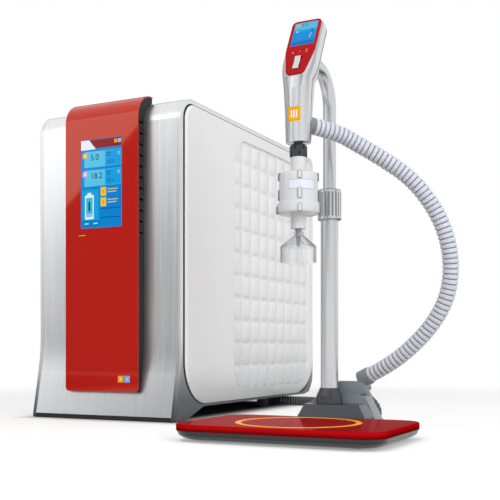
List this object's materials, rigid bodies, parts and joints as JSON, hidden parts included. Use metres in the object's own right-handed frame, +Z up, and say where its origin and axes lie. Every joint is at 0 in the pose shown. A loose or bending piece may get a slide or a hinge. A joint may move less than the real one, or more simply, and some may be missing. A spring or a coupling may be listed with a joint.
{
  "type": "ultrapure water system",
  "caption": "Bench ultrapure water cabinet with display fascia and quilted side covers, joined by a hose to a dispense stand with a telescopic pole, handset, filter and bell.",
  "frame": {"origin": "on the bench, under the middle of the footprint of cabinet and stand, hoses left out", "axes": "+Z up, the display faces -Y, the dispense stand is on the +X side"},
  "size_m": [0.778, 0.872, 0.5793],
  "materials": {
    "side_frames": "fine satin grey moulding",
    "steel_wrap": "vertical brushed",
    "white_cover": "smooth white",
    "quilted_panel": "quilted white",
    "black_housing": "black",
    "red_glass": "gloss red front",
    "screen": "blue display",
    "rubber": "matt",
    "zinc_sheet": "plain sheet",
    "port_plastic": "white acetal",
    "inlet_black": "black",
    "switch_black": "black rocker",
    "cartridge_white": "white",
    "tank_plastic": "natural polyethylene",
    "vessel_steel": "tube",
    "pump_black": "black",
    "valve_grey": "grey",
    "board_green": "solder mask",
    "supply_metal": "plain",
    "stand_grey": "dark grey moulding",
    "ballast": "raw",
    "tray_red": "gloss red",
    "ring_orange": "orange print",
    "saddle_grey": "mid grey moulding",
    "tube_metal": "satin tube",
    "knob_chrome": "fluted",
    "handset_silver": "silver lacquer",
    "handset_chrome": "polished back",
    "face_red": "gloss red",
    "lcd": "blue display",
    "rocker_silver": "satin",
    "nut_black": "black",
    "filter_white": "white",
    "membrane": "pleated",
    "clear_bell": "clear",
    "light_hose": "light ribbed conduit",
    "dark_hose": "dark ribbed conduit"
  },
  "bodies": {
    "cabinet": {"side_frame_right": "side_frames", "side_frame_left": "side_frames", "front_wrap": "steel_wrap", "foot_strip": "rubber", "rear_feet": "rubber", "cover_catches": "rubber", "base_pan": "zinc_sheet", "rear_panel": "zinc_sheet", "rear_ports": "port_plastic", "power_inlet": "inlet_black", "fascia_housing": "black_housing", "fascia_glass": "red_glass", "touch_screen": "screen", "dividing_wall": "zinc_sheet", "equipment_shelf": "zinc_sheet", "pretreatment_cartridge": "cartridge_white", "polishing_cartridges": "cartridge_white", "cartridge_rack": "valve_grey", "reservoir_tank": "tank_plastic", "ro_module": "cartridge_white", "uv_chamber": "vessel_steel", "booster_pump": "pump_black", "recirculation_pump": "pump_black", "valve_manifold": "valve_grey", "power_supply": "supply_metal", "control_board": "board_green", "stand_base": "stand_grey", "stand_feet": "rubber", "ballast_plate": "ballast", "tray_cover": "tray_red", "ring_inlay": "ring_orange", "pole_foot": "stand_grey", "hose_saddle": "saddle_grey", "pole_collar": "stand_grey", "hose_block": "saddle_grey", "lower_tube": "tube_metal", "clamp_collet": "nut_black", "upper_hose": "light_hose", "lower_hose": "dark_hose", "hose_gland": "nut_black"},
    "mast": {"upper_tube": "tube_metal", "handset_front_shell": "handset_silver", "handset_gasket": "nut_black", "handset_rear_shell": "handset_chrome", "handset_port": "nut_black", "face_plate": "face_red", "handset_display": "lcd", "dispense_valve": "nut_black", "union_nut": "nut_black", "filter_housing_upper": "filter_white", "filter_housing_lower": "filter_white", "filter_membrane": "membrane", "bell": "clear_bell"},
    "dispense_lever": {"dispense_rocker": "rocker_silver"},
    "clamp_ring": {"clamp_knob": "knob_chrome"},
    "cover_right": {"side_cover_right": "white_cover", "quilted_panel_right": "quilted_panel"},
    "cover_left": {"side_cover_left": "white_cover", "quilted_panel_left": "quilted_panel"},
    "mains_switch": {"power_switch": "switch_black"}
  },
  "joints": [
    {"name": "mast_slide", "type": "slide", "parent": "cabinet", "child": "mast", "axis": [0, 0, 1], "range_m": [-0.1, 0.12], "deforming": ["upper_hose"]},
    {"name": "clamp_turn", "type": "hinge", "parent": "cabinet", "child": "clamp_ring", "pos_m": [0.222, -0.22, 0.3345], "axis": [0, 0, 1], "range_deg": [0, 120]},
    {"name": "dispense_press", "type": "hinge", "parent": "mast", "child": "dispense_lever", "pos_m": [0.222, -0.33514, 0.50785], "axis": [1, 0, 0], "range_deg": [-4, 4], "stiffness_Nm_per_rad": 0.05},
    {"name": "cover_right_pull", "type": "slide", "parent": "cabinet", "child": "cover_right", "axis": [1, 0, 0], "range_m": [0, 0.12]},
    {"name": "cover_left_pull", "type": "slide", "parent": "cabinet", "child": "cover_left", "axis": [-1, 0, 0], "range_m": [0, 0.12]},
    {"name": "mains_rocker", "type": "hinge", "parent": "cabinet", "child": "mains_switch", "pos_m": [-0.298, 0.4185, 0.126], "axis": [1, 0, 0], "range_deg": [0, 14]}
  ]
}
